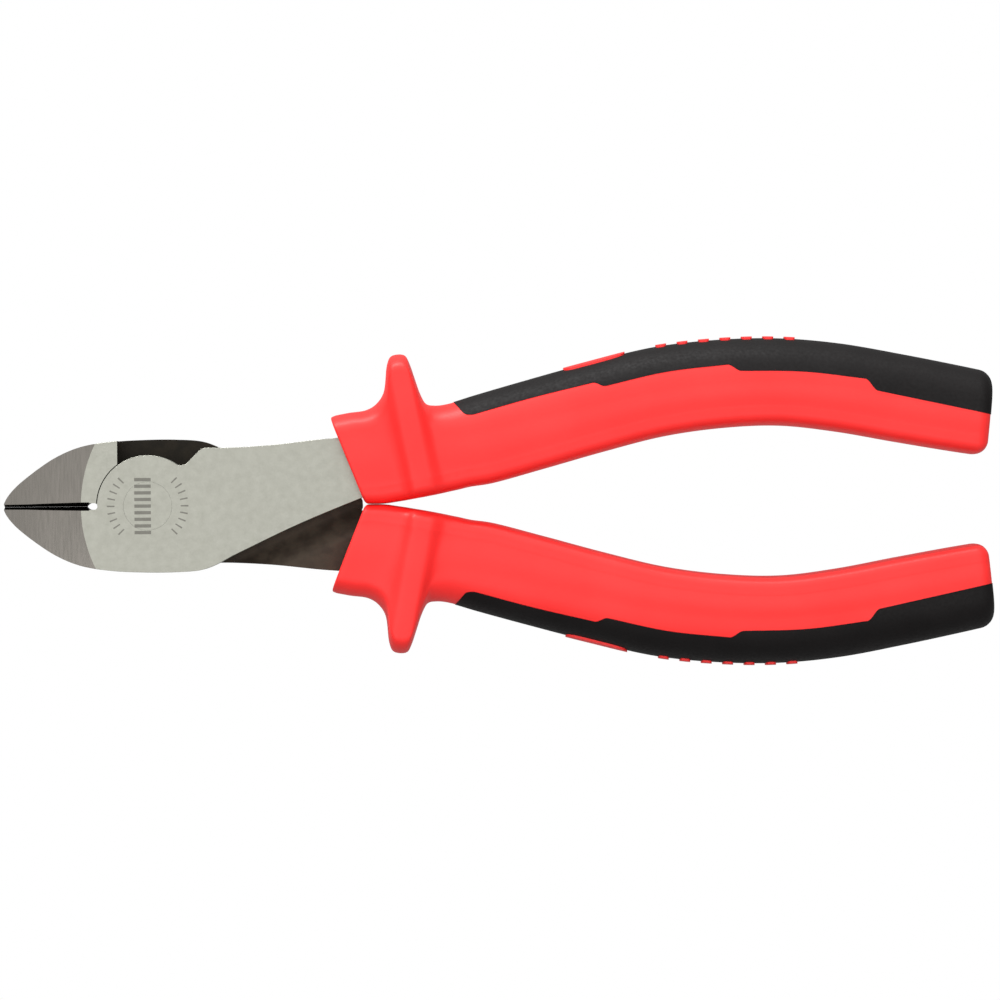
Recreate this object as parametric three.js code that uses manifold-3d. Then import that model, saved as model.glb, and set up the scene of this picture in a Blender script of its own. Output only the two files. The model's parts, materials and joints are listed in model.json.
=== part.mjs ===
// Diagonal cutting pliers, 180 mm long, closed: two identical forged levers in a lap joint, one flush
// rivet, and on each handle a hard moulded shell whose back is covered by a soft overlay.
//
// Millimetres. X runs from the jaw tips to the handle ends, Y across the handles and Z along the pivot.
// The shapes are drawn round the middle of the joint, and the finished group is moved so that its
// origin lies under the middle of the pliers, on the surface that they lie on.
// Half a turn about X maps the pliers onto themselves, so one lever, one shell and one overlay are
// drawn, for the half with its jaw below X and its handle above, and each is used twice.
import * as THREE from "three";
import { mergeVertices } from "three/addons/utils/BufferGeometryUtils.js";
import { ParametricGeometry } from "three/addons/geometries/ParametricGeometry.js";
import Module from "manifold-3d";

const wasm = await Module();
wasm.setup();

// ---- Driving dimensions ----

const HEAD_HALF = 5; // half the head's thickness
const LAP_GAP = 0.1; // between the faces of the two levers that slide on each other
const BOSS_RADIUS = 9.2; // round boss that the other lever's jaw turns about
const BOSS_CLEARANCE = 0.15;
const JAW_GAP = 0.1; // between the two cutting edges when closed
const JAW_TIP_X = -26.3;
const MIDDLE_X = 63.6; // halfway between the jaw tips and the ends of the handles
const JAW_ROOT_X = -5.45; // the full-thickness jaw ends here; behind it a lever is half as thick
const PINCH_SLOT = { frontX: -10.6, rearX: -9.7, radius: 0.6 }; // relief behind the cutting edges

const GRIND_CENTRE_X = 13.5; // the jaws' faces are ground to a shallow cone about this axis
const GRIND_PROFILE = [[25.6, 5], [32.9, 3.8], [40.9, 1.8]]; // [radius, height above the middle]
const EDGE_BEVEL_WIDTH = 0.9; // of the bevel beside each cutting edge, at the jaw's face

const TANG_HALF = 3.5; // half the tang's thickness inside the grip
const TANG_STARTS_X = 41; // the tang is centred on the middle plane from here on
const PLATE_ENDS_X = 44; // the head's full height ends here, inside the grip's collar
const LAND_HEIGHT = 3.2; // raised land on the tang's lapped side, clear of the other lever
const LAND_CLEARANCE = 0.8; // from the other lever's edge to the foot of the land
const LAND_SLOPE = THREE.MathUtils.degToRad(32);
const LEDGE_HEIGHT = 1.2; // above the middle plane, of the ledge that fills the corner between handles

const RIVET_RADIUS = 3.2;
const RIVET_HEAD_RADIUS = 4.4;
const RIVET_HEAD_DEPTH = 1.2;
const RIVET_CLEARANCE = 0.15;

const MOULD_GAP = 0.3; // between pieces that are moulded onto each other
const OVERLAY_THICKNESS = 2;
const INNER_POWER = 4; // superellipse exponents of the grip's section, on its two sides
const OUTER_POWER = 2.6;
const SECTION_SIDES = 24;
const GRIP_END_RADIUS = 2.2;
const GUARD_HALF = 10.4; // half the grip's thickness at the finger guard, its thickest place
const FAR = 200; // beyond every outline, for cutting tools

// ---- Outlines, as [x, y] ----

// The lever's handle: its outer edge from the shoulder to the tang's end, then its inner edge back.
const HANDLE_OUTER = [[10.8, 10.5], [14, 10.45], [22.8, 10.9], [31.6, 11.85], [50, 13.3],
  [72, 17.6], [94, 22.9], [110, 24.5], [134, 21.6]];
const HANDLE_INNER = [[134, 15.6], [110, 18.3], [94, 16.4], [72, 10.7], [50, 5.4], [38.7, 1.12],
  [27.1, -3.61], [15.3, -9.15]];
// The back of the head and jaw, from under the handle round to the blunt tip.
const HEAD_BACK = [[15.3, -9.15], [12.2, -10.8], [9.6, -11.7], [5, -12.05], [-0.5, -12.05],
  [-6.8, -11.7], [-12.3, -10.75], [-16.65, -8.95], [-21, -6.1], [-24.3, -3.4], [-25.8, -1.6],
  [JAW_TIP_X, -0.6]];
// The shoulder is the stop that the other jaw's root meets when the pliers are wide open.
const SHOULDER_FOOT = [9.1, 9.67];
const SHOULDER_CORNER = [9.9, 10.5];
const NOTCH_RADIUS = 1.6; // fillet between the boss and the shoulder's flank
// The ledge along the handle's inner edge ends just in front of the grip's collar.
const LEDGE = [[35.7, 0.3], [36.5, -0.1], [38.9, -0.1], [38.9, 0.6], [38.15, 2.4], [36.2, 2.5]];

// The grip's ruled stations, front to back: [inner x, inner y, outer x, outer y, half thickness].
const GRIP_STATIONS = [
  [39.5, 0.12, 33.1, 16.0, 7.9], // front face of the collar
  [42.7, 0.16, 36.5, 16.65, 8.0],
  [45.3, 0.4, 39.75, 17.15, 8.2],
  [46.6, 0.6, 41.5, 18.2, 8.4],
  [47.5, 0.76, 42.85, 20.2, 8.9], // front of the finger guard
  [48.5, 0.94, 43.55, 25.3, 10.1],
  [49.1, 1.04, 44.15, 26.75, 10.35],
  [50.4, 1.27, 45.55, 27.2, GUARD_HALF], // crest of the guard
  [51.6, 1.5, 46.85, 26.95, 10.35],
  [52.3, 1.63, 47.5, 25.8, 10.1],
  [54.2, 2.03, 49.6, 19.8, 8.7], // back of the guard
  [55.2, 2.25, 50.6, 18.15, 8.4],
  [56.4, 2.5, 52.0, 17.85, 8.3],
  [58.4, 2.97, 54.2, 18.05, 8.35],
  [62.5, 3.6, 59.5, 19.6, 8.6],
  [72.0, 6.15, 68.0, 22.0, 9.0],
  [83.0, 9.2, 79.5, 25.1, 9.5],
  [94.0, 11.9, 92.0, 28.05, 9.9],
  [105.0, 13.35, 104.5, 29.35, 10.0],
  [115.0, 13.65, 115.5, 29.45, 9.9],
  [125.0, 12.5, 126.0, 28.45, 9.6],
  [136.0, 10.5, 137.5, 26.35, 9.3],
  [146.0, 8.75, 147.2, 24.35, 9.1],
  [152.1, 7.8, 153.6, 22.95, 9.0], // rear end
];

// The edge of the soft overlay across the grip's face: it steps inwards three times.
const OVERLAY_EDGE = [
  [[53.55, 20.7], [57.65, 16.1]],
  [[59.0, 16.0], [69.5, 18.9], [81.2, 21.7]],
  [[82.8, 20.9], [94, 23.4], [105.6, 24.7]],
  [[107.2, 23.5], [119, 23.25], [130.5, 21.85]],
  [[131.9, 19.8], [143, 17.4], [156, 14.6]],
];
const OVERLAY_OUTSIDE = [[156, 35], [53.55, 35]];

// ---- Solids ----

function solidOf(geometry) {
  const bare = new THREE.BufferGeometry();
  bare.setAttribute("position", geometry.getAttribute("position"));
  bare.setIndex(geometry.getIndex());
  const merged = mergeVertices(bare, 1e-4);
  const corners = merged.getIndex().array;
  const triVerts = [];
  for (let i = 0; i < corners.length; i += 3) {
    const [a, b, c] = corners.slice(i, i + 3);
    if (a !== b && b !== c && c !== a) triVerts.push(a, b, c);
  }
  return new wasm.Manifold(new wasm.Mesh({
    numProp: 3,
    vertProperties: new Float32Array(merged.getAttribute("position").array),
    triVerts: new Uint32Array(triVerts),
  }));
}

function geometryOf(solid) {
  const { vertProperties, triVerts } = solid.getMesh();
  const geometry = new THREE.BufferGeometry();
  geometry.setAttribute("position", new THREE.BufferAttribute(vertProperties, 3));
  geometry.setIndex(new THREE.BufferAttribute(triVerts, 1));
  geometry.computeVertexNormals();
  return geometry;
}

const points = (pairs) => pairs.map(([x, y]) => new THREE.Vector2(x, y));

const spline = (pairs, steps) => new THREE.SplineCurve(points(pairs)).getSpacedPoints(steps);

function arc(x, y, radius, from, to, steps) {
  return new THREE.EllipseCurve(x, y, radius, radius, from, to, to < from).getPoints(steps);
}

function prismGeometry(outline, low, high) {
  const shape = new THREE.Shape(outline);
  const settings = { depth: high - low, bevelEnabled: false };
  return new THREE.ExtrudeGeometry(shape, settings).translate(0, 0, low);
}

const prism = (outline, low, high) => solidOf(prismGeometry(outline, low, high));

// Everything between two places along X and two heights.
function slab(lowX, highX, lowZ, highZ) {
  const geometry = new THREE.BoxGeometry(highX - lowX, FAR, highZ - lowZ);
  return solidOf(geometry.translate((lowX + highX) / 2, 0, (lowZ + highZ) / 2));
}

// A profile of [radius, height] turned about the pivot's direction.
function turned(profile, segments, x = 0) {
  const geometry = new THREE.LatheGeometry(points(profile), segments);
  return solidOf(geometry.rotateX(Math.PI / 2).translate(x, 0, 0));
}

const disc = (radius, low, high, segments, x = 0) =>
  turned([[0, low], [radius, low], [radius, high], [0, high]], segments, x);

// ---- Rivet ----

// The rivet, or with a clearance the hole for it, which runs on past both faces.
function rivetSolid(clearance = 0, overrun = 0) {
  const shaft = RIVET_RADIUS + clearance;
  const head = RIVET_HEAD_RADIUS + clearance;
  const neck = HEAD_HALF - RIVET_HEAD_DEPTH;
  const half = [[shaft, neck], [head, HEAD_HALF], [head, HEAD_HALF + overrun], [0, HEAD_HALF + overrun]];
  const upper = overrun ? half : half.toSpliced(2, 1);
  const lower = upper.map(([radius, height]) => [radius, -height]).reverse();
  return turned([...lower, ...upper], 36);
}

// ---- Lever ----

// The fillet that touches the boss and the shoulder's flank, which rises at 45 degrees.
function notchFillet() {
  const reach = BOSS_RADIUS + NOTCH_RADIUS;
  const lift = SHOULDER_FOOT[1] - SHOULDER_FOOT[0] + NOTCH_RADIUS * Math.SQRT2;
  const x = (Math.sqrt(2 * reach ** 2 - lift ** 2) - lift) / 2;
  const y = x + lift;
  return { x, y, angle: Math.atan2(y, x) };
}

// The lever seen along the pivot. Growing it widens the handle, for the space in the grip round it.
function leverOutline(grow = 0) {
  const widen = (edge, by) => edge.map(([x, y]) => [x > 130 ? x + grow : x, x > 30 ? y + by : y]);
  const outer = widen(HANDLE_OUTER, grow);
  const inner = widen(HANDLE_INNER, -grow);
  const notch = notchFillet();
  const shoulder = new THREE.QuadraticBezierCurve(...points([SHOULDER_FOOT, SHOULDER_CORNER, outer[0]]));
  return [
    new THREE.Vector2(JAW_TIP_X, -JAW_GAP / 2),
    new THREE.Vector2(-BOSS_RADIUS, -JAW_GAP / 2),
    ...arc(0, 0, BOSS_RADIUS, Math.PI, notch.angle, 26),
    ...arc(notch.x, notch.y, NOTCH_RADIUS, notch.angle + Math.PI, Math.PI * 1.75, 5).slice(1),
    ...shoulder.getPoints(4),
    ...spline(outer, 22).slice(1),
    ...spline(inner, 22),
    ...spline(HEAD_BACK, 24).slice(1),
  ];
}

// What the shallow grinding cone takes off the front of the jaw.
function jawGrinding() {
  const [start] = GRIND_PROFILE;
  const [, endHeight] = GRIND_PROFILE.at(-1);
  const above = HEAD_HALF + 1;
  const profile = [...GRIND_PROFILE, [FAR, endHeight], [FAR, above], [start[0], above], start];
  return turned(profile, 72, GRIND_CENTRE_X).intersect(slab(-FAR, JAW_ROOT_X, -above, above));
}

// The bevels beside the cutting edge, on the jaw's front and back, meet at the edge in the middle.
function edgeBevels() {
  const rise = 2 * HEAD_HALF;
  const width = 2 * EDGE_BEVEL_WIDTH;
  const edge = -JAW_GAP / 2;
  const above = points([[edge, 0], [edge - width, rise], [1, rise], [1, 0]]);
  const below = points([[1, 0], [1, -rise], [edge - width, -rise], [edge, 0]]);
  const length = PINCH_SLOT.frontX - JAW_TIP_X + 1;
  // The profiles are drawn as (y, z) and pushed along X.
  const alongX = new THREE.Matrix4().makeBasis(
    new THREE.Vector3(0, 1, 0), new THREE.Vector3(0, 0, 1), new THREE.Vector3(1, 0, 0));
  alongX.setPosition(PINCH_SLOT.frontX - length, 0, 0);
  return [above, below].map((profile) => solidOf(prismGeometry(profile, 0, length).applyMatrix4(alongX)));
}

function pinchSlot(low, high) {
  const { frontX, rearX, radius } = PINCH_SLOT;
  const front = arc(frontX, 0, radius, Math.PI / 2, Math.PI * 1.5, 8);
  const rear = arc(rearX, 0, radius, -Math.PI / 2, Math.PI / 2, 8);
  return prism([...front, ...rear], low, high);
}

// The tang's raised land: a ramp that starts clear of the other lever's edge, cut to the outline.
function tangLand(outline) {
  const [cornerX, cornerY] = HANDLE_INNER.at(-1);
  const [endX, endY] = HANDLE_INNER.at(-3);
  const top = LAP_GAP / 2;
  const run = LAND_HEIGHT / Math.tan(LAND_SLOPE);
  const profile = points([[LAND_CLEARANCE, top], [LAND_CLEARANCE, 0],
    [LAND_CLEARANCE + run, -LAND_HEIGHT], [FAR, -LAND_HEIGHT], [FAR, top]]);
  // The other lever's edge is this lever's, turned over.
  const along = new THREE.Vector3(endX - cornerX, cornerY - endY, 0).normalize();
  const up = new THREE.Vector3(0, 0, 1);
  const across = new THREE.Vector3().crossVectors(up, along);
  const place = new THREE.Matrix4().makeBasis(across, up, along).setPosition(cornerX, -cornerY, 0);
  const ramp = solidOf(prismGeometry(profile, -FAR, FAR).applyMatrix4(place));
  return prism(outline, -LAND_HEIGHT, top).intersect(slab(0, PLATE_ENDS_X, -HEAD_HALF, HEAD_HALF))
    .intersect(ramp);
}

function leverSolid() {
  const outline = leverOutline();
  const lap = LAP_GAP / 2;
  const above = HEAD_HALF + 1;
  const plate = prism(outline, lap, HEAD_HALF).subtract(slab(PLATE_ENDS_X, FAR, TANG_HALF, above));
  const jaw = prism(outline, -HEAD_HALF, lap)
    .intersect(slab(-FAR, JAW_ROOT_X, -above, above))
    .subtract(disc(BOSS_RADIUS + BOSS_CLEARANCE, -above, lap, 72));
  const tang = prism(outline, -TANG_HALF, lap).intersect(slab(TANG_STARTS_X, FAR, -above, above));
  const grinding = jawGrinding();
  const grindingBehind = solidOf(geometryOf(grinding).rotateX(Math.PI));
  const cuts = [grinding, grindingBehind, ...edgeBevels(), rivetSolid(RIVET_CLEARANCE, 1),
    pinchSlot(-above, above)];
  const ledge = prism(points(LEDGE), lap, LEDGE_HEIGHT);
  const whole = plate.add(jaw).add(tang).add(tangLand(outline)).add(ledge);
  return cuts.reduce((solid, cut) => solid.subtract(cut), whole);
}

// ---- Grip ----

// The rows that the grip's skin runs through, moved inwards all round by the inset.
function gripRows(inset) {
  const rows = GRIP_STATIONS.map(([innerX, innerY, outerX, outerY, halfHeight]) => {
    const inner = new THREE.Vector3(innerX, innerY, 0);
    const outer = new THREE.Vector3(outerX, outerY, 0);
    const across = outer.clone().sub(inner);
    const halfWidth = across.length() / 2;
    return {
      middle: inner.add(outer).multiplyScalar(0.5),
      across: across.normalize(),
      halfWidth: halfWidth - inset,
      halfHeight: halfHeight - inset,
    };
  });
  const rear = rows.pop();
  const forwards = rows.at(-1).middle.clone().sub(rear.middle).normalize();
  for (const angle of [0, 0.25, 0.5].map((turn) => turn * Math.PI)) {
    const shrink = GRIP_END_RADIUS * (1 - Math.cos(angle));
    const back = inset + GRIP_END_RADIUS * (1 - Math.sin(angle));
    rows.push({
      middle: rear.middle.clone().addScaledVector(forwards, back),
      across: rear.across,
      halfWidth: rear.halfWidth - shrink,
      halfHeight: rear.halfHeight - shrink,
    });
  }
  // A closed skin starts and ends in a point.
  const point = (row) => ({ ...row, halfWidth: 0, halfHeight: 0 });
  return [point(rows[0]), ...rows, point(rows.at(-1))];
}

function gripSkin(inset = 0) {
  const rows = gripRows(inset);
  const flatten = (value, power) => Math.sign(value) * Math.abs(value) ** (2 / power);
  const skin = (u, v, target) => {
    const row = rows[Math.round(v * (rows.length - 1))];
    const side = Math.round(u * SECTION_SIDES) % SECTION_SIDES;
    const angle = side / SECTION_SIDES * Math.PI * 2;
    const power = Math.cos(angle) > 0 ? OUTER_POWER : INNER_POWER;
    target.copy(row.middle).addScaledVector(row.across, row.halfWidth * flatten(Math.cos(angle), power));
    target.z += row.halfHeight * flatten(Math.sin(angle), power);
  };
  return solidOf(new ParametricGeometry(skin, SECTION_SIDES, rows.length - 1));
}

// The part of the plan that the overlay covers, widened by the gap.
function overlayPlan(gap) {
  const edge = OVERLAY_EDGE.flatMap((stretch) => spline(stretch, 3 * (stretch.length - 1)));
  const moved = edge.map((point) => new THREE.Vector2(point.x, point.y - gap));
  return prism([...moved, ...points(OVERLAY_OUTSIDE)], -20, 20);
}

// The space in the shell that the lever's handle fills.
function tangSpace() {
  const outline = leverOutline(MOULD_GAP);
  const half = TANG_HALF + MOULD_GAP;
  const high = HEAD_HALF + MOULD_GAP;
  const tang = prism(outline, -half, half).intersect(slab(20, FAR, -high, high));
  return tang.add(prism(outline, 0, high).intersect(slab(20, PLATE_ENDS_X + MOULD_GAP, -high, high)));
}

function shellSolid() {
  const seat = overlayPlan(MOULD_GAP).subtract(gripSkin(OVERLAY_THICKNESS + MOULD_GAP));
  return gripSkin().subtract(tangSpace()).subtract(seat);
}

const overlaySolid = () => gripSkin().intersect(overlayPlan(0)).subtract(gripSkin(OVERLAY_THICKNESS));

// ---- Assembly ----

const groundSteel = new THREE.MeshStandardMaterial({ color: 0xb8b8ac, roughness: 0.35, metalness: 1 });
const redPlastic = new THREE.MeshStandardMaterial({ color: 0xfc4849, roughness: 0.5, metalness: 0 });
const blackRubber = new THREE.MeshStandardMaterial({ color: 0x302829, roughness: 0.8, metalness: 0 });

const leverGeometry = geometryOf(leverSolid());
const shellGeometry = geometryOf(shellSolid());
const overlayGeometry = geometryOf(overlaySolid());

function piece(name, geometry, material) {
  const mesh = new THREE.Mesh(geometry, material);
  mesh.name = name;
  return mesh;
}

function half(lever, grip) {
  return new THREE.Group().add(
    piece(`${lever}_lever`, leverGeometry, groundSteel),
    piece(`${grip}_grip_shell`, shellGeometry, redPlastic),
    piece(`${grip}_grip_overlay`, overlayGeometry, blackRubber),
  );
}

const frontHalf = half("front", "upper");
const rearHalf = half("rear", "lower");
rearHalf.rotation.x = Math.PI;

const pliers = new THREE.Group();
pliers.add(frontHalf, rearHalf, piece("pivot_rivet", geometryOf(rivetSolid()), groundSteel));
pliers.position.set(-MIDDLE_X, 0, GUARD_HALF);

export default pliers;
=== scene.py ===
"""The looks of a pair of diagonal cutting pliers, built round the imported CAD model.

Shapes are drawn in millimetres round the middle of the joint, for the half of the pliers whose jaw lies
below the X axis and whose handle lies above it. Half a turn about X gives the other half, and place()
takes each finished piece into the frame, in metres.
"""
import json
import math

import bmesh
import bpy
import numpy as np
from mathutils import Matrix, Vector


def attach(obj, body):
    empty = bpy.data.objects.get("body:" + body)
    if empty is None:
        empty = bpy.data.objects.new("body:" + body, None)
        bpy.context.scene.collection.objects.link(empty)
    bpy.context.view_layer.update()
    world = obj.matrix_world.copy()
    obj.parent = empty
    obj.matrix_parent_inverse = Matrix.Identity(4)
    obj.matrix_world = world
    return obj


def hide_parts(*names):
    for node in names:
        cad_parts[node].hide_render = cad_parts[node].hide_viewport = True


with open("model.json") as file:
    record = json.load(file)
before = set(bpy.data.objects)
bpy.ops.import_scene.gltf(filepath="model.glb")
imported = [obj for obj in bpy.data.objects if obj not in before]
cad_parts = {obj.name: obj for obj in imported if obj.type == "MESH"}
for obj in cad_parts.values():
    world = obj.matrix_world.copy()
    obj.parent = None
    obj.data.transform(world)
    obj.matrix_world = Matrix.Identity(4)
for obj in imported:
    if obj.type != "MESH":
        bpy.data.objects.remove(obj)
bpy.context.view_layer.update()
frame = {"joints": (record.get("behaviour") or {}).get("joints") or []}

MM = 0.001
PIVOT = Vector(frame["joints"][0]["pos_m"])

# ---- Driving dimensions in millimetres, as in the CAD part unless a comment says otherwise ----

HEAD_HALF = 5.0  # half the head's thickness
LAP_HALF = 0.05  # half the gap between the levers' sliding faces
BOSS_RADIUS = 9.2
BOSS_CLEARANCE = 0.15
JAW_TIP_X = -26.3
JAW_ROOT_X = -5.45
PINCH_SLOT_X = (-10.6, -9.7)  # middles of the round ends of the relief behind the cutting edges
PINCH_SLOT_RADIUS = 0.6
GRIND_CENTRE_X = 13.5
GRIND_PROFILE = [(25.6, 5.0), (32.9, 3.8), (40.9, 1.8)]  # radius and height of the ground cone
TANG_HALF = 3.5
PLATE_ENDS_X = 44.0
LAND_HEIGHT = 3.2
LAND_CLEARANCE = 0.8
LAND_RUN = 5.1  # length of the ramp up to the land
LEDGE_HEIGHT = 1.2  # above the middle plane, of the ledge that fills the corner between the handles
RIVET_RADIUS = 3.2
RIVET_HEAD_RADIUS = 4.4
RIVET_HEAD_DEPTH = 1.2
NOTCH_RADIUS = 1.6

# Finer than the CAD part, or not in it
CUTTING_EDGE_Y = -0.005  # the cutting edges all but touch
EDGE_BEVEL_ROOT = (0.75, 5.0)  # width and height of the bevel beside the cutting edge, at the slot
EDGE_BEVEL_TIP = (0.55, 2.3)  # the same at the tip
STEEL_EDGE_RADIUS = 0.06
RIVET_FIT = 0.008  # between the rivet and its hole
RIVET_RIM = 0.02  # width of the blunted edge round each of the rivet's heads
TANG_FIT = 0.04  # between the tang and its shell
PLATE_FIT = 0.03  # between the head's full height and the collar
PART_LINE = 0.03  # between the shell and the overlay
OVERLAY_RISE = 0.08  # of the overlay above the shell
OVERLAY_DEPTH = 2.0
RIB_RISE = 0.42
RIB_ROOT = 1.0  # how far the ribs reach into the shell under the overlay
SEAM_RISE = 0.03
SEAM_WIDTH = 0.3
INNER_ROUNDING = 3.1  # width of the rounded stretch beside the grip's inner edge
LEAST_ROUNDING = 0.4  # what is left of the rounded stretches in a skin that is moved far inwards
INNER_POWER = 4.0  # superellipse exponents of the grip's section, on its two sides
OUTER_POWER = 2.3
FACE_CROWN = 0.25  # how far the middle of the grip's face stands above its edges
COLLAR_EDGE_RADIUS = 0.6
GRIP_END_RADIUS = 2.3
RING_SPACING = 0.7  # between the sections that the grip's skin runs through

# Reach of the cutting tools, past whatever they cut
FAR = 200.0
WIDE = 100.0
TALL = 20.0
THROUGH = 10.0  # past both faces of the head
INSIDE_GRIP_X = 30.0  # the handle is inside the grip, or almost, from here on
TANG_END_X = 130.0  # points beyond this are the tang's end

# The lever's handle, its outer edge and back along its inner edge, then the back of the head and jaw
HANDLE_OUTER = [(10.8, 10.5), (14, 10.45), (22.8, 10.9), (31.6, 11.85), (50, 13.3), (72, 17.6),
                (94, 22.9), (110, 24.5), (134, 21.6)]
HANDLE_INNER = [(134, 15.6), (110, 18.3), (94, 16.4), (72, 10.7), (50, 5.4), (38.7, 1.12),
                (27.1, -3.61), (15.3, -9.15)]
HEAD_BACK = [(15.3, -9.15), (12.2, -10.8), (9.6, -11.7), (5, -12.05), (-0.5, -12.05), (-6.8, -11.7),
             (-12.3, -10.75), (-16.65, -8.95), (-21, -6.1), (-24.3, -3.4), (-25.8, -1.6),
             (JAW_TIP_X, -0.6)]
SHOULDER = [(9.1, 9.67), (9.9, 10.5), (10.8, 10.5)]
# The ledge starts 0.8 mm further forward than the CAD part's
LEDGE = [(34.9, 0.3), (35.4, -0.1), (38.9, -0.1), (38.9, 0.6), (38.15, 2.4), (36.2, 2.5)]

# Inner x and y, outer x and y, half height, width of the rounded stretch beside the outer edge.
# At the collar, the inner edge is about 0.1 mm nearer to the X axis than the CAD part's.
GRIP_STATIONS = [
    (39.5, 0.02, 33.1, 16.0, 7.9, 3.5),  # front face of the collar
    (42.7, 0.05, 36.5, 16.65, 8.0, 3.5),
    (45.3, 0.4, 39.75, 17.15, 8.2, 3.5),
    (46.6, 0.6, 41.5, 18.2, 8.4, 3.5),
    (47.5, 0.76, 42.85, 20.2, 8.9, 3.4),  # front of the finger guard
    (48.5, 0.94, 43.55, 25.3, 10.1, 3.2),
    (49.1, 1.04, 44.15, 26.75, 10.35, 3.2),
    (50.4, 1.27, 45.55, 27.2, 10.4, 3.2),  # crest of the guard
    (51.6, 1.5, 46.85, 26.95, 10.35, 3.2),
    (52.3, 1.63, 47.5, 25.8, 10.1, 3.2),
    (54.2, 2.03, 49.6, 19.8, 8.7, 4.0),  # back of the guard
    (55.2, 2.25, 50.6, 18.15, 8.4, 4.5),
    (56.4, 2.5, 52.0, 17.85, 8.3, 5.0),
    (58.4, 2.97, 54.2, 18.05, 8.35, 5.5),
    (62.5, 3.6, 59.5, 19.6, 8.6, 6.2),
    (72.0, 6.15, 68.0, 22.0, 9.0, 6.8),
    (83.0, 9.2, 79.5, 25.1, 9.5, 7.4),
    (94.0, 11.9, 92.0, 28.05, 9.9, 7.8),
    (105.0, 13.35, 104.5, 29.35, 10.0, 7.8),
    (115.0, 13.65, 115.5, 29.45, 9.9, 7.8),
    (125.0, 12.5, 126.0, 28.45, 9.6, 7.6),
    (136.0, 10.5, 137.5, 26.35, 9.3, 7.2),
    (146.0, 8.75, 147.2, 24.35, 9.1, 6.8),
    (152.1, 7.8, 153.6, 22.95, 9.0, 6.5),  # rear end
]

# The overlay's edge across the grip's face, which steps inwards three times
OVERLAY_EDGE = [
    [(53.55, 20.7), (57.65, 16.1)],
    [(59.0, 16.0), (69.5, 18.9), (81.2, 21.7)],
    [(82.8, 20.9), (94, 23.4), (105.6, 24.7)],
    [(107.2, 23.5), (119, 23.25), (130.5, 21.85)],
    [(131.9, 19.8), (143, 17.4), (156, 14.6)],
]
OVERLAY_OUTSIDE = [(156, 35), (53.55, 35)]

PAD = (81.2, 11.2, 8.0)  # the raised pad: its middle along X, its length and its width
RIB_FIRST_X = 93.4
RIB_PITCH = 3.9
RIB_COUNT = 7
RIB_SIZE = (1.9, 6.6)
RIB_POWER = 5.0  # superellipse exponent of the pad's and the ribs' outline
RIB_TOOL_Y = (-3.4, 6.0)  # from under the overlay to above the ribs, from the grip's outer edge
RIB_WINDOW_GAP = 0.03  # round each rib, in the overlay

# Index marks on the front face: two arcs of ticks and a column of bars between them
TICK_RADIUS = 6.7
TICK_LENGTH = 1.4
TICK_PITCH = math.radians(11)
TICKS_PER_ARC = 9
TICK_SHARE = 0.2  # of the pitch that a tick takes
BAR_MIDDLE_X = -0.9
BAR_LENGTH = 3.0
BAR_PITCH = 1.2
BARS = 9
BAR_SHARE = 0.5


# ---- Curves and solids ----

def curve(points, spacing):
    """Points about one spacing apart on a smooth curve through the given rows of numbers.

    A row's first four numbers are its coordinates. Others, such as heights, are carried along.
    """
    points = np.array(points, float)
    gaps = np.linalg.norm(np.diff(points[:, :4], axis=0), axis=1)
    steps = np.sqrt(gaps)[:, None]
    slopes = np.diff(points, axis=0) / steps
    tangents = np.empty_like(points)
    tangents[1:-1] = (slopes[:-1] * steps[1:] + slopes[1:] * steps[:-1]) / (steps[1:] + steps[:-1])
    tangents[0] = slopes[0]
    tangents[-1] = slopes[-1]
    rows = []
    for i, gap in enumerate(gaps):
        count = max(1, math.ceil(gap / spacing))
        t = np.arange(count)[:, None] / count
        rows.append((2 * t**3 - 3 * t**2 + 1) * points[i] + (3 * t**2 - 2 * t**3) * points[i + 1]
                    + (t**3 - 2 * t**2 + t) * steps[i] * tangents[i]
                    + (t**3 - t**2) * steps[i] * tangents[i + 1])
    return np.vstack([*rows, points[-1:]])


def arc(x, y, radius, start, end, spacing=0.4):
    count = max(6, round(abs(end - start) * radius / spacing))
    angles = np.linspace(start, end, count + 1)
    return np.column_stack([x + radius * np.cos(angles), y + radius * np.sin(angles)])


def inset(outline, distance):
    """A closed outline moved to its inner side, which is on the right when it runs clockwise."""
    ahead = np.roll(outline, -1, axis=0) - outline
    ahead /= np.linalg.norm(ahead, axis=1)[:, None]
    behind = np.roll(ahead, 1, axis=0)
    area = np.sum(outline[:, 0] * np.roll(outline[:, 1], -1) - outline[:, 1] * np.roll(outline[:, 0], -1))
    normals = np.column_stack([-(ahead + behind)[:, 1], (ahead + behind)[:, 0]]) * np.sign(area)
    normals /= np.linalg.norm(normals, axis=1)[:, None]
    half_angle = np.sqrt(np.clip((1 + np.sum(ahead * behind, axis=1)) / 2, 0.25, 1))
    return outline + normals * (distance / half_angle)[:, None]


def skin(name, rings, material):
    """A closed solid through rings of points, capped at both ends."""
    count = len(rings[0])
    loop = np.arange(count)
    following = np.roll(loop, -1)
    faces = []
    for start in range(0, count * (len(rings) - 1), count):
        quads = np.column_stack([loop, following, following + count, loop + count]) + start
        faces.extend(map(tuple, quads))
    faces.append(tuple(loop[::-1]))
    faces.append(tuple(loop + count * (len(rings) - 1)))
    mesh = bpy.data.meshes.new(name)
    mesh.from_pydata(np.vstack(rings), [], faces)
    mesh.materials.append(material)
    solid = bmesh.new()
    solid.from_mesh(mesh)
    if solid.calc_volume(signed=True) < 0:
        bmesh.ops.reverse_faces(solid, faces=solid.faces)
    solid.to_mesh(mesh)
    solid.free()
    piece = bpy.data.objects.new(name, mesh)
    bpy.context.scene.collection.objects.link(piece)
    return piece


def flat_ring(outline, z):
    return np.column_stack([outline, np.full(len(outline), z)])


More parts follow.
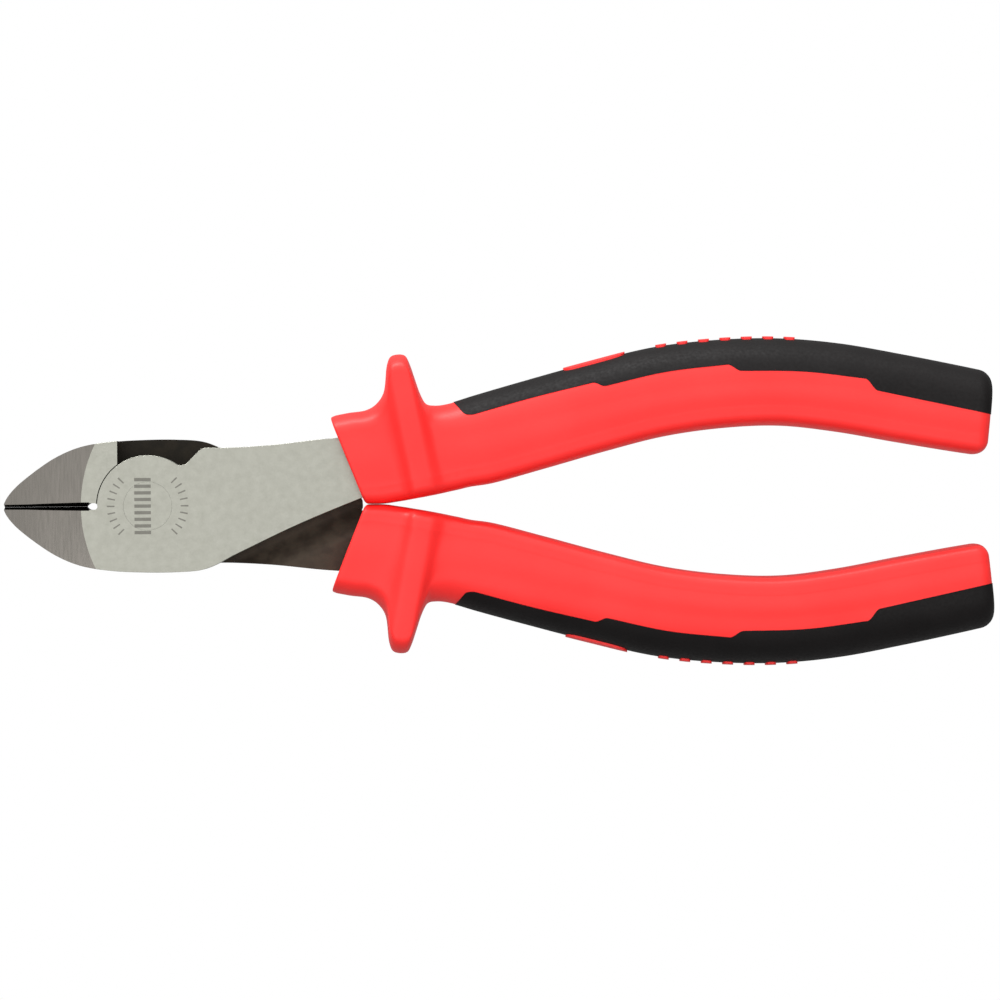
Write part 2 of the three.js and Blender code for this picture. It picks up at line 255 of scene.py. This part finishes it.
def prism(name, outline, low, high, material, edge_radius=0.0):
    """An upright solid, with its rims rounded where a radius is given."""
    if not edge_radius:
        return skin(name, [flat_ring(outline, low), flat_ring(outline, high)], material)
    angles = np.radians([0, 30, 60, 90])
    rims = [(edge_radius * (1 - math.cos(a)), edge_radius * (1 - math.sin(a))) for a in angles]
    lower = [flat_ring(inset(outline, shrink), low + lift) for shrink, lift in rims[::-1]]
    upper = [flat_ring(inset(outline, shrink), high - lift) for shrink, lift in rims]
    return skin(name, lower + upper, material)


def box(name, low, high, material):
    corners = np.array([(low[0], low[1]), (high[0], low[1]), (high[0], high[1]), (low[0], high[1])], float)
    return prism(name, corners, low[2], high[2], material)


def turned(name, profile, material, segments=96):
    """A profile of (radius, height) turned about the pivot's direction."""
    angles = np.linspace(0, 2 * math.pi, segments, endpoint=False)
    circle = np.column_stack([np.cos(angles), np.sin(angles)])
    return skin(name, [flat_ring(circle * radius, z) for radius, z in profile], material)


def bake(piece):
    """Applies the piece's modifiers to its mesh."""
    graph = bpy.context.evaluated_depsgraph_get()
    mesh = bpy.data.meshes.new_from_object(piece.evaluated_get(graph), depsgraph=graph)
    piece.modifiers.clear()
    old = piece.data
    piece.data = mesh
    bpy.data.meshes.remove(old)


def discard(piece):
    mesh = piece.data
    bpy.data.objects.remove(piece)
    bpy.data.meshes.remove(mesh)


def combine(piece, operation, tools):
    """Joins the tools to the piece, cuts them out of it or keeps what they share with it."""
    for tool in tools:
        modifier = piece.modifiers.new("combine", "BOOLEAN")
        modifier.solver = "MANIFOLD"
        modifier.operation = operation
        modifier.material_mode = "TRANSFER"
        modifier.object = tool
    bake(piece)
    for tool in tools:
        discard(tool)
    return piece


def copy_of(piece, name):
    twin = bpy.data.objects.new(name, piece.data.copy())
    bpy.context.scene.collection.objects.link(twin)
    return twin


def shade(piece, crease_degrees):
    """Smooth shading that breaks at creases and where one surface finish meets another."""
    sliver = 1e-5
    solid = bmesh.new()
    solid.from_mesh(piece.data)
    bmesh.ops.dissolve_degenerate(solid, dist=sliver, edges=solid.edges)
    limit = math.radians(crease_degrees)
    for face in solid.faces:
        face.smooth = True
    for edge in solid.edges:
        faces = edge.link_faces
        if len(faces) == 2:
            finish_changes = faces[0].material_index != faces[1].material_index
            edge.smooth = not finish_changes and edge.calc_face_angle(0) < limit
    solid.to_mesh(piece.data)
    solid.free()
    weighted = piece.modifiers.new("weighted", "WEIGHTED_NORMAL")
    weighted.keep_sharp = True
    weighted.weight = 80


def place(piece, body, node, over=False):
    """Takes a finished piece into the frame and lets it stand for its CAD node."""
    into_frame = Matrix.Translation(PIVOT) @ Matrix.Scale(MM, 4)
    if over:
        into_frame = into_frame @ Matrix.Rotation(math.pi, 4, "X")
    piece.data.transform(into_frame)
    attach(piece, body)
    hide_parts(node)


# ---- Materials ----

class Nodes:
    """A short way to write a material's node tree."""

    def __init__(self, name):
        self.material = bpy.data.materials.new(name)
        self.material.use_nodes = True
        self.tree = self.material.node_tree
        self.shader = self.tree.nodes["Principled BSDF"]
        self.position = self.tree.nodes.new("ShaderNodeTexCoord").outputs["Object"]

    def put(self, socket, value):
        if isinstance(value, bpy.types.NodeSocket):
            self.tree.links.new(value, socket)
        else:
            socket.default_value = value

    def set(self, **inputs):
        for name, value in inputs.items():
            self.put(self.shader.inputs[name.replace("_", " ")], value)

    def math(self, operation, *values):
        node = self.tree.nodes.new("ShaderNodeMath")
        node.operation = operation
        for socket, value in zip(node.inputs, values):
            self.put(socket, value)
        return node.outputs[0]

    def from_pivot(self, axis):
        """The distance from the middle of the joint along X, Y or Z, in millimetres."""
        split = self.tree.nodes.new("ShaderNodeSeparateXYZ")
        self.put(split.inputs[0], self.position)
        return self.math("DIVIDE", self.math("SUBTRACT", split.outputs[axis], PIVOT[axis]), MM)

    def noise(self, scale, detail=3.0, stretch=(1, 1, 1)):
        """Noise whose grains are 1/scale metres across, squeezed along each axis by the stretch."""
        mapping = self.tree.nodes.new("ShaderNodeMapping")
        self.put(mapping.inputs["Vector"], self.position)
        mapping.inputs["Scale"].default_value = stretch
        node = self.tree.nodes.new("ShaderNodeTexNoise")
        self.put(node.inputs["Vector"], mapping.outputs[0])
        node.inputs["Scale"].default_value = scale
        node.inputs["Detail"].default_value = detail
        return node.outputs[0]

    def span(self, value, low, high, to_low, to_high):
        node = self.tree.nodes.new("ShaderNodeMapRange")
        for socket, number in zip(node.inputs, (value, low, high, to_low, to_high)):
            self.put(socket, number)
        return node.outputs[0]

    def blend(self, factor, first, second):
        node = self.tree.nodes.new("ShaderNodeMix")
        node.data_type = "RGBA"
        for name, value in (("Factor_Float", factor), ("A_Color", first), ("B_Color", second)):
            socket = next(s for s in node.inputs if s.identifier == name)
            self.put(socket, value)
        return next(s for s in node.outputs if s.identifier == "Result_Color")

    def bump(self, height, depth_mm):
        node = self.tree.nodes.new("ShaderNodeBump")
        node.inputs["Distance"].default_value = depth_mm * MM
        self.put(node.inputs["Height"], height)
        self.set(Normal=node.outputs[0])


def rgb(red, green, blue):
    """A colour given as the eye sees it, from 0 to 255, as the shader wants it."""
    values = [value / 255 for value in (red, green, blue)]
    return tuple(v / 12.92 if v <= 0.04045 else ((v + 0.055) / 1.055) ** 2.4 for v in values) + (1.0,)


def index_marks(nodes):
    """Where the front face is marked: two arcs of plain ticks and a column of bars, with no lettering."""
    x, y, z = (nodes.from_pivot(axis) for axis in range(3))
    front = nodes.math("GREATER_THAN", z, HEAD_HALF - 0.1)

    def between(value, middle, half_width):
        return nodes.math("LESS_THAN", nodes.math("ABSOLUTE", nodes.math("SUBTRACT", value, middle)),
                          half_width)

    def stripes(value, pitch, share):
        """Stripes on whole multiples of the pitch, each taking that share of it."""
        phase = nodes.math("ADD", nodes.math("DIVIDE", value, pitch), share / 2)
        return nodes.math("LESS_THAN", nodes.math("FRACT", phase), share)

    radius = nodes.math("SQRT", nodes.math("ADD", nodes.math("MULTIPLY", x, x),
                                           nodes.math("MULTIPLY", y, y)))
    from_x_axis = nodes.math("ARCTAN2", nodes.math("ABSOLUTE", y), nodes.math("ABSOLUTE", x))
    ring = nodes.math("MULTIPLY", between(radius, TICK_RADIUS, TICK_LENGTH / 2),
                      between(from_x_axis, 0.0, TICKS_PER_ARC / 2 * TICK_PITCH))
    ticks = nodes.math("MULTIPLY", ring, stripes(from_x_axis, TICK_PITCH, TICK_SHARE))
    column = nodes.math("MULTIPLY", between(x, BAR_MIDDLE_X, BAR_LENGTH / 2),
                        between(y, 0.0, BARS / 2 * BAR_PITCH))
    bars = nodes.math("MULTIPLY", column, stripes(y, BAR_PITCH, BAR_SHARE))
    return nodes.math("MULTIPLY", front, nodes.math("MAXIMUM", ticks, bars))


def ground_steel():
    """The flat ground faces, with the index marks burnt into the front one."""
    nodes = Nodes("ground_steel")
    grain = nodes.noise(2600)
    cloud = nodes.noise(700, detail=5.0)
    tone = nodes.blend(nodes.span(cloud, 0.3, 0.7, 0.0, 1.0), rgb(145, 145, 136), rgb(152, 152, 143))
    nodes.set(Base_Color=nodes.blend(nodes.math("MULTIPLY", index_marks(nodes), 0.6), tone,
                                     rgb(62, 58, 55)),
              Metallic=1.0, Roughness=nodes.span(grain, 0.3, 0.7, 0.36, 0.46))
    nodes.bump(grain, 0.006)
    return nodes.material


def bevel_steel():
    """The jaws' ground cones, with grinding lines across the cutting edge."""
    nodes = Nodes("bevel_steel")
    lines = nodes.noise(300, detail=3.0, stretch=(14, 1, 1))
    nodes.set(Base_Color=nodes.blend(nodes.span(lines, 0.3, 0.7, 0.0, 1.0), rgb(98, 95, 90),
                                     rgb(110, 106, 101)),
              Metallic=1.0, Roughness=nodes.span(lines, 0.3, 0.7, 0.22, 0.34))
    nodes.bump(lines, 0.006)
    return nodes.material


def dark_steel():
    """The forging's dark skin where nothing was ground, with painted shade making it darker towards the
    joint.
    """
    nodes = Nodes("dark_steel")
    mottle = nodes.noise(420, detail=5.0)
    grain = nodes.noise(2200)
    patches = nodes.span(mottle, 0.4, 0.62, 0.0, 1.0)
    # Painted shade: the recessed skin near the joint gets a darker colour, which turns lighter from 9 to 21
    # mm out along X.
    shaded_recess = nodes.blend(patches, rgb(27, 24, 19), rgb(37, 33, 27))
    unshaded_skin = nodes.blend(patches, rgb(58, 50, 43), rgb(71, 62, 53))
    away = nodes.span(nodes.from_pivot(0), 9, 21, 0.0, 1.0)
    nodes.set(Base_Color=nodes.blend(away, shaded_recess, unshaded_skin),
              Metallic=0.3, Roughness=nodes.span(mottle, 0.3, 0.7, 0.5, 0.7))
    nodes.set(Specular_IOR_Level=0.12)
    nodes.bump(grain, 0.02)
    return nodes.material


def red_plastic():
    """Hard moulded plastic with the fine texture of its mould."""
    nodes = Nodes("red_plastic")
    texture = nodes.noise(3000, detail=2.0)
    cloud = nodes.noise(90, detail=3.0)
    nodes.set(Base_Color=nodes.blend(nodes.span(cloud, 0.3, 0.7, 0.0, 1.0), rgb(251, 45, 43),
                                     rgb(254, 50, 48)),
              Roughness=nodes.span(texture, 0.3, 0.7, 0.42, 0.52))
    nodes.set(Specular_IOR_Level=0.3)
    nodes.bump(texture, 0.012)
    return nodes.material


def black_rubber():
    """Soft overlay with a matte grain."""
    nodes = Nodes("black_rubber")
    grain = nodes.noise(1800, detail=4.0)
    cloud = nodes.noise(160, detail=3.0)
    nodes.set(Base_Color=nodes.blend(nodes.span(cloud, 0.3, 0.7, 0.0, 1.0), rgb(13, 10, 10),
                                     rgb(19, 16, 16)),
              Roughness=nodes.span(grain, 0.3, 0.7, 0.55, 0.72))
    nodes.set(Specular_IOR_Level=0.18)
    nodes.bump(grain, 0.02)
    return nodes.material


def pale_floor():
    """An evenly glowing white, on which no shadow shows."""
    nodes = Nodes("pale_floor")
    nodes.set(Base_Color=(0, 0, 0, 1), Roughness=1.0, Specular_IOR_Level=0.0)
    nodes.set(Emission_Color=(1, 1, 1, 1), Emission_Strength=1.0)
    return nodes.material


# ---- Levers and rivet ----

def notch_middle():
    """The middle of the fillet that touches the boss and the shoulder's flank, which rises at 45 degrees."""
    foot_x, foot_y = SHOULDER[0]
    reach = BOSS_RADIUS + NOTCH_RADIUS
    lift = foot_y - foot_x + NOTCH_RADIUS * math.sqrt(2)
    x = (math.sqrt(2 * reach**2 - lift**2) - lift) / 2
    return x, x + lift


def lever_outline(grow=0.0):
    """The lever seen along the pivot, clockwise from the jaw tip. Growing it widens the handle."""
    def widen(edge, by):
        return [(x + grow if x > TANG_END_X else x, y + by if x > INSIDE_GRIP_X else y)
                for x, y in edge]

    notch_x, notch_y = notch_middle()
    notch_angle = math.atan2(notch_y, notch_x)
    foot, corner, top = (np.array(point) for point in SHOULDER)
    bend = np.linspace(0, 1, 7)[:, None]
    shoulder = (1 - bend) ** 2 * foot + 2 * bend * (1 - bend) * corner + bend**2 * top
    return np.vstack([
        [(JAW_TIP_X, CUTTING_EDGE_Y), (-BOSS_RADIUS, CUTTING_EDGE_Y)],
        arc(0, 0, BOSS_RADIUS, math.pi, notch_angle)[1:],
        arc(notch_x, notch_y, NOTCH_RADIUS, notch_angle + math.pi, math.pi * 1.75, 0.2)[1:],
        shoulder,
        curve(widen(HANDLE_OUTER, grow), 1.0)[1:],
        curve(widen(HANDLE_INNER, -grow), 1.0),
        curve(HEAD_BACK, 0.5)[1:],
    ])


def lap_space(material):
    """What the forging leaves out on the lapped side: a flat, then a soft ramp up to the tang's land."""
    corner = Vector((*HANDLE_INNER[-1], 0))
    # The other lever's edge is this lever's, turned over.
    edge_start = Vector((corner.x, -corner.y, 0))
    edge_end = Vector((HANDLE_INNER[-3][0], -HANDLE_INNER[-3][1], 0))
    along = edge_end - edge_start
    along.normalize()
    across = Vector((0, 0, 1)).cross(along)
    share = np.linspace(0, 1, 15)
    ramp_d = LAND_CLEARANCE + LAND_RUN * share
    ramp_z = LAP_HALF - (LAND_HEIGHT + LAP_HALF) * share**2 * (3 - 2 * share)
    deep = -HEAD_HALF - 1
    profile = np.vstack([[(-FAR, deep), (-FAR, LAP_HALF)], np.column_stack([ramp_d, ramp_z]),
                         [(FAR, -LAND_HEIGHT), (FAR, deep)]])
    rings = []
    for distance in (-FAR, FAR):
        start = edge_start + along * distance
        rings.append(np.array([start + across * d + Vector((0, 0, z)) for d, z in profile]))
    space = skin("lap_space", rings, material)
    behind_root = box("behind_root", (JAW_ROOT_X, -FAR, -TALL), (FAR, FAR, TALL), material)
    return combine(space, "INTERSECT", [behind_root])


def jaw_cone(material):
    """What the grinding takes off one face of the jaws: a stretch of a wide, shallow cone."""
    surface = curve(GRIND_PROFILE, 0.8)
    beyond = 60  # mm from the cone's axis, past the jaw tips
    above = HEAD_HALF + 3
    profile = np.vstack([surface, [(beyond, surface[-1][1]), (beyond, above), (surface[0][0], above)]])
    rings = []
    for angle in np.radians(np.arange(140, 221, 1.5)):
        rings.append(np.column_stack([GRIND_CENTRE_X + profile[:, 0] * math.cos(angle),
                                      profile[:, 0] * math.sin(angle), profile[:, 1]]))
    return skin("jaw_cone", rings, material)


def edge_bevel(material):
    """What the bevel beside the cutting edge takes off, from the tip to the relief slot."""
    high = 2 * HEAD_HALF
    past = 1  # mm past the tip and past the cutting edge
    rings = []
    for x, (width, rise) in ((JAW_TIP_X - past, EDGE_BEVEL_TIP), (PINCH_SLOT_X[0], EDGE_BEVEL_ROOT)):
        slant = CUTTING_EDGE_Y - width * high / rise
        profile = [(CUTTING_EDGE_Y, 0), (slant, high), (past, high), (past, 0)]
        rings.append(np.array([(x, y, z) for y, z in profile]))
    return skin("edge_bevel", rings, material)


def pinch_slot(material):
    front, rear = PINCH_SLOT_X
    outline = np.vstack([arc(front, 0, PINCH_SLOT_RADIUS, math.pi / 2, math.pi * 1.5, 0.1),
                         arc(rear, 0, PINCH_SLOT_RADIUS, -math.pi / 2, math.pi / 2, 0.1)])
    return prism("pinch_slot", outline, -THROUGH, THROUGH, material)


def mirrored(piece):
    """A copy on the other side of the middle plane."""
    twin = copy_of(piece, piece.name + "_below")
    twin.data.transform(Matrix.Scale(-1, 4, (0, 0, 1)))
    twin.data.flip_normals()
    return twin


def rivet_profile(grow=0.0, overrun=0.0, rim=0.0):
    """The rivet's profile, or with growth and overrun the profile of the hole for it."""
    neck = HEAD_HALF - RIVET_HEAD_DEPTH
    half = [(RIVET_RADIUS + grow, neck), (RIVET_HEAD_RADIUS + grow, HEAD_HALF - rim)]
    if rim:
        half.append((RIVET_HEAD_RADIUS - rim, HEAD_HALF))
    if overrun:
        half.append((RIVET_HEAD_RADIUS + grow, HEAD_HALF + overrun))
    return [(radius, -z) for radius, z in half[::-1]] + half


def lever(ground, bevelled, dark):
    piece = prism("lever", lever_outline(), -HEAD_HALF, HEAD_HALF, ground, STEEL_EDGE_RADIUS)
    cone = jaw_cone(bevelled)
    bevel = edge_bevel(bevelled)
    boss_space_radius = BOSS_RADIUS + BOSS_CLEARANCE
    boss_space = turned("boss_space", [(boss_space_radius, -THROUGH), (boss_space_radius, LAP_HALF)],
                        dark, segments=160)
    above_tang = box("above_tang", (PLATE_ENDS_X, -WIDE, TANG_HALF), (FAR, WIDE, TALL), dark)
    rivet_hole = turned("rivet_hole", rivet_profile(RIVET_FIT, 1), dark)
    cuts = [lap_space(dark), boss_space, above_tang, cone, mirrored(cone), bevel, mirrored(bevel),
            rivet_hole, pinch_slot(dark)]
    combine(piece, "DIFFERENCE", cuts)
    ledge = prism("ledge", np.array(LEDGE), LAP_HALF, LEDGE_HEIGHT, dark)
    return combine(piece, "UNION", [ledge])


# ---- Grips ----

def grip_rings(shrink):
    """Sections through the grip, front to back, moved inwards by the shrink all round."""
    rows = curve(GRIP_STATIONS, RING_SPACING)
    quarter = np.linspace(0, math.pi / 2, 14)
    rings = []

    def superellipse(power):
        return np.sin(quarter) ** (2 / power), 1 - np.cos(quarter) ** (2 / power)

    def row_at(x):
        return [np.interp(x, rows[:, 0], column) for column in rows.T]

    def add(row, back, corner):
        inner = np.array(row[:2])
        across = np.array(row[2:4]) - inner
        width = np.linalg.norm(across)
        across /= width
        moved = shrink + corner
        half_height = row[4] - FACE_CROWN - moved
        front_round = max(INNER_ROUNDING - moved, LEAST_ROUNDING)
        back_round = max(row[5] - moved, LEAST_ROUNDING)
        flat = width - 2 * moved - front_round - back_round
        rise, fall = superellipse(INNER_POWER)
        back_rise, back_fall = superellipse(OUTER_POWER)
        seam = np.array([0.5, 1.0]) * SEAM_WIDTH
        places = np.concatenate([seam, np.linspace(SEAM_WIDTH, flat, 13)[1:-1]])
        lift = FACE_CROWN * (1 - (2 * places / flat - 1) ** 2) ** 2
        lift[0] += SEAM_RISE
        along = np.concatenate([front_round * fall, front_round + places,
                                front_round + flat + back_round * (1 - back_fall[::-1])])
        height = np.concatenate([half_height * rise, half_height + lift, half_height * back_rise[::-1]])
        along = np.concatenate([along, along[-2:0:-1]]) + moved
        height = np.concatenate([height, -height[-2:0:-1]])
        section = inner + across * along[:, None] + (back, 0)
        rings.append(np.column_stack([section, height]))

    # The collar's rounded front edge is the first station's section, shrunk and moved back in steps.
    for angle in np.radians(np.linspace(0, 75, 6)):
        add(rows[0], COLLAR_EDGE_RADIUS * (1 - math.cos(angle)),
            COLLAR_EDGE_RADIUS * (1 - math.sin(angle)))
    front_ends = rows[0][0] + COLLAR_EDGE_RADIUS
    rear_end = rows[-1][0] - shrink
    # One more row behind the rear end serves a skin that is moved outwards.
    rows = np.vstack([rows, 2 * rows[-1] - rows[-2]])
    for row in rows:
        if front_ends < row[0] < rear_end - GRIP_END_RADIUS - RING_SPACING / 3:
            add(row, 0.0, 0.0)
    for angle in np.radians(np.linspace(0, 90, 9)):
        add(row_at(rear_end - GRIP_END_RADIUS * (1 - math.sin(angle))), 0.0,
            GRIP_END_RADIUS * (1 - math.cos(angle)))
    return rings


def grip_solid(name, shrink, material):
    return skin(name, grip_rings(shrink), material)


def overlay_plan(name, drop, material):
    """The part of the plan that the overlay covers, its edge lowered by the drop."""
    edge = np.vstack([curve(stretch, 1.0) for stretch in OVERLAY_EDGE])
    # Cutting the corners off twice rounds the steps.
    for _ in range(2):
        cut = [edge[:1]]
        for start, end in zip(edge[:-1], edge[1:]):
            cut.append(np.array([start * 0.75 + end * 0.25, start * 0.25 + end * 0.75]))
        edge = np.vstack([*cut, edge[-1:]])
    edge[:, 1] -= drop
    tall = 30
    return prism(name, np.vstack([edge, OVERLAY_OUTSIDE]), -tall, tall, material)


def spine_y(x):
    """The height of the grip's outer edge at a place along X."""
    rows = curve(GRIP_STATIONS, 1.0)
    return float(np.interp(x, rows[:, 2], rows[:, 3]))


def rib_tools(name, grow, material):
    """Upright blocks through the grip's back: a long pad and a row of cross ribs."""
    shapes = [PAD]
    shapes += [(RIB_FIRST_X + RIB_PITCH * i, *RIB_SIZE) for i in range(RIB_COUNT)]
    angles = np.linspace(0, 2 * math.pi, 56, endpoint=False)
    cosines = np.sign(np.cos(angles)) * np.abs(np.cos(angles)) ** (2 / RIB_POWER)
    sines = np.sign(np.sin(angles)) * np.abs(np.sin(angles)) ** (2 / RIB_POWER)
    tools = []
    for i, (x, length, width) in enumerate(shapes):
        along = x + (length / 2 + grow) * cosines
        height = (width / 2 + grow) * sines
        base = spine_y(x)
        rings = [np.column_stack([along, np.full(len(angles), base + y), height]) for y in RIB_TOOL_Y]
        tools.append(skin(f"{name}_{i}", rings, material))
    return tools


def ribs(material):
    """The raised ribs, deep enough to join the shell under the overlay."""
    tools = rib_tools("rib", 0.0, material)
    first = combine(tools[0], "UNION", tools[1:])
    combine(first, "INTERSECT", [grip_solid("rib_top", -RIB_RISE, material)])
    return combine(first, "DIFFERENCE", [grip_solid("rib_root", OVERLAY_DEPTH + RIB_ROOT, material)])


def tang_space(material):
    """The space in the shell that the lever's handle fills."""
    start = (20, -WIDE, -TALL)  # well in front of the collar
    outline = lever_outline(TANG_FIT)
    tang = prism("tang_space", outline, -LAND_HEIGHT - TANG_FIT, TANG_HALF + TANG_FIT, material)
    plate = prism("plate_space", outline, 0, HEAD_HALF + PLATE_FIT, material)
    plate_end = box("plate_end", start, (PLATE_ENDS_X + 0.1, WIDE, TALL), material)
    combine(plate, "INTERSECT", [plate_end])
    combine(tang, "INTERSECT", [box("tang_start", start, (FAR, WIDE, TALL), material)])
    return combine(tang, "UNION", [plate])


def shell(material):
    seat = overlay_plan("seat", PART_LINE, material)
    combine(seat, "DIFFERENCE", [grip_solid("seat_core", OVERLAY_DEPTH + PART_LINE, material)])
    piece = grip_solid("shell", 0.0, material)
    combine(piece, "DIFFERENCE", [seat, tang_space(material)])
    return combine(piece, "UNION", [ribs(material)])


def overlay(material):
    piece = grip_solid("overlay", -OVERLAY_RISE, material)
    combine(piece, "INTERSECT", [overlay_plan("cover", 0.0, material)])
    cuts = [grip_solid("overlay_core", OVERLAY_DEPTH, material)]
    return combine(piece, "DIFFERENCE", cuts + rib_tools("window", RIB_WINDOW_GAP, material))


# ---- Build ----

ground, bevelled, dark = ground_steel(), bevel_steel(), dark_steel()
red, black = red_plastic(), black_rubber()

rivet = turned("rivet_pivot", rivet_profile(rim=RIVET_RIM), ground)
shade(rivet, 30)
place(rivet, "front_half", "pivot_rivet")

lever_front = lever(ground, bevelled, dark)
shell_upper = shell(red)
overlay_upper = overlay(black)
for piece, crease, front, rear, nodes, slots in (
    (lever_front, 28, "lever_front", "lever_rear", ("front_lever", "rear_lever"),
     ("ground_steel", "forged_steel")),
    (shell_upper, 38, "shell_upper", "shell_lower", ("upper_grip_shell", "lower_grip_shell"),
     ("red_plastic", "red_plastic")),
    (overlay_upper, 38, "overlay_upper", "overlay_lower", ("upper_grip_overlay", "lower_grip_overlay"),
     ("black_rubber", "black_rubber")),
):
    piece.name = front
    twin = copy_of(piece, rear)
    for half, body, node, slot, over in ((piece, "front_half", nodes[0], slots[0], False),
                                         (twin, "rear_half", nodes[1], slots[1], True)):
        shade(half, crease)
        place(half, body, node, over)

# ---- Floor, light and camera ----

VIEW_CENTRE = (0.0003, 0.00054)  # metres
VIEW_DISTANCE = 1.0122  # metres above the middle of the joint
VIEW_ROLL = -0.5  # degrees

scene = bpy.context.scene
scene.view_settings.view_transform = "Standard"

bpy.ops.mesh.primitive_plane_add(size=6)
floor = bpy.context.object
floor.name = "floor"
floor.data.materials.append(pale_floor())
floor.visible_diffuse = False
floor.visible_glossy = False

world = bpy.data.worlds.new("studio")
world.use_nodes = True
world.node_tree.nodes["Background"].inputs["Color"].default_value = (1, 1, 1, 1)
world.node_tree.nodes["Background"].inputs["Strength"].default_value = 0.38
scene.world = world


def softbox(name, location, size, watts):
    light = bpy.data.lights.new(name, "AREA")
    light.shape = "RECTANGLE"
    light.size, light.size_y = size
    light.energy = watts
    lamp = bpy.data.objects.new(name, light)
    lamp.location = location
    lamp.rotation_euler = (-Vector(location)).to_track_quat("-Z", "Y").to_euler()
    lamp.visible_camera = False
    scene.collection.objects.link(lamp)


softbox("overhead", (0.0, 0.5, 1.3), (3.0, 2.4), 32)
softbox("rim", (-0.35, 1.1, 0.08), (1.2, 0.12), 18)
softbox("jaw_light", (-0.5, -0.45, 1.1), (0.35, 0.25), 1.5)

camera_data = bpy.data.cameras.new("camera")
camera_data.lens = 200
camera_data.sensor_width = 36
camera = bpy.data.objects.new("camera", camera_data)
camera.location = (*VIEW_CENTRE, PIVOT.z + VIEW_DISTANCE)
camera.rotation_euler = (0, 0, math.radians(VIEW_ROLL))
scene.collection.objects.link(camera)
scene.camera = camera
